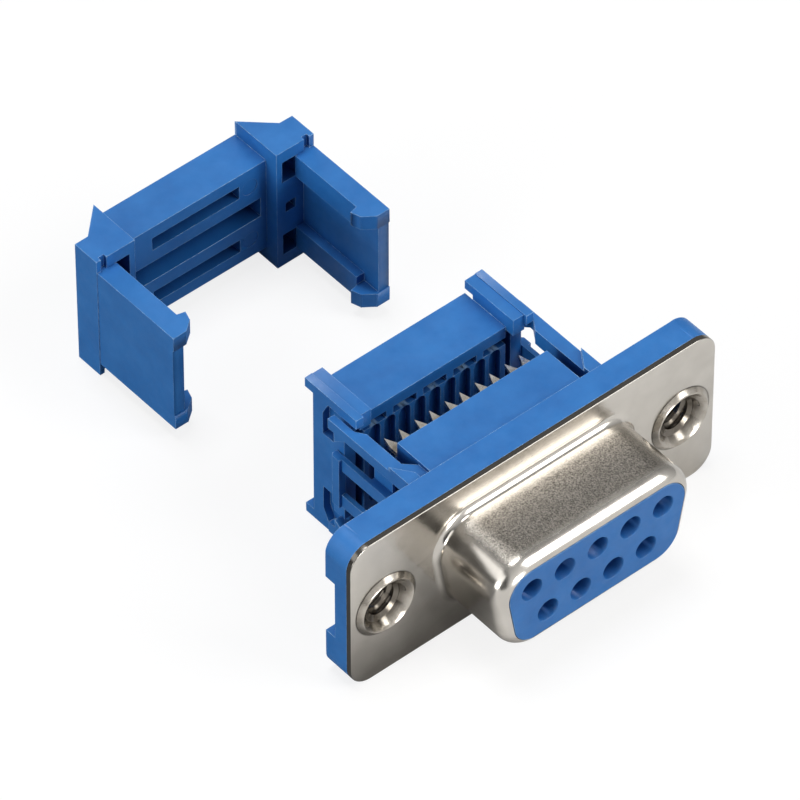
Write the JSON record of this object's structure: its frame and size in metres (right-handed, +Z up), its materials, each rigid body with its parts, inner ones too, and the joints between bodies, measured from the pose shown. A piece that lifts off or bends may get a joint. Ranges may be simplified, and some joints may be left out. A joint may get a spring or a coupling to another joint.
{
  "type": "d-sub connector",
  "caption": "D-shaped socket connector for flat ribbon cable, with steel shell, threaded inserts, wire forks, a sliding cable cover and a separate strain relief clip.",
  "frame": {"origin": "centre of the front face of the steel flange, midway between the two threaded inserts", "axes": "+X along the flange, +Y from the panel face towards the cable side, +Z up, towards the row of five sockets"},
  "size_m": [0.0308, 0.0424, 0.0126],
  "materials": {
    "shell_steel": "satin nickel plate",
    "insert_nickel": "bright nickel plate",
    "contact_metal": "plated copper alloy",
    "blue_plastic": "fine moulded, satin"
  },
  "bodies": {
    "connector": {"front_shell": "shell_steel", "insulator_body": "blue_plastic", "threaded_insert_left": "insert_nickel", "threaded_insert_right": "insert_nickel", "contact_1": "contact_metal", "contact_2": "contact_metal", "contact_3": "contact_metal", "contact_4": "contact_metal", "contact_5": "contact_metal", "contact_6": "contact_metal", "contact_7": "contact_metal", "contact_8": "contact_metal", "contact_9": "contact_metal"},
    "cover": {"cable_cover": "blue_plastic"},
    "clip": {"strain_relief_clip": "blue_plastic"}
  },
  "joints": [
    {"name": "cover_close", "type": "slide", "parent": "connector", "child": "cover", "axis": [0, -1, 0], "range_m": [0, 0.0027]},
    {"name": "clip_on", "type": "slide", "parent": "connector", "child": "clip", "axis": [0.0727, -0.9935, 0.0874], "range_m": [0, 0.01086]}
  ]
}
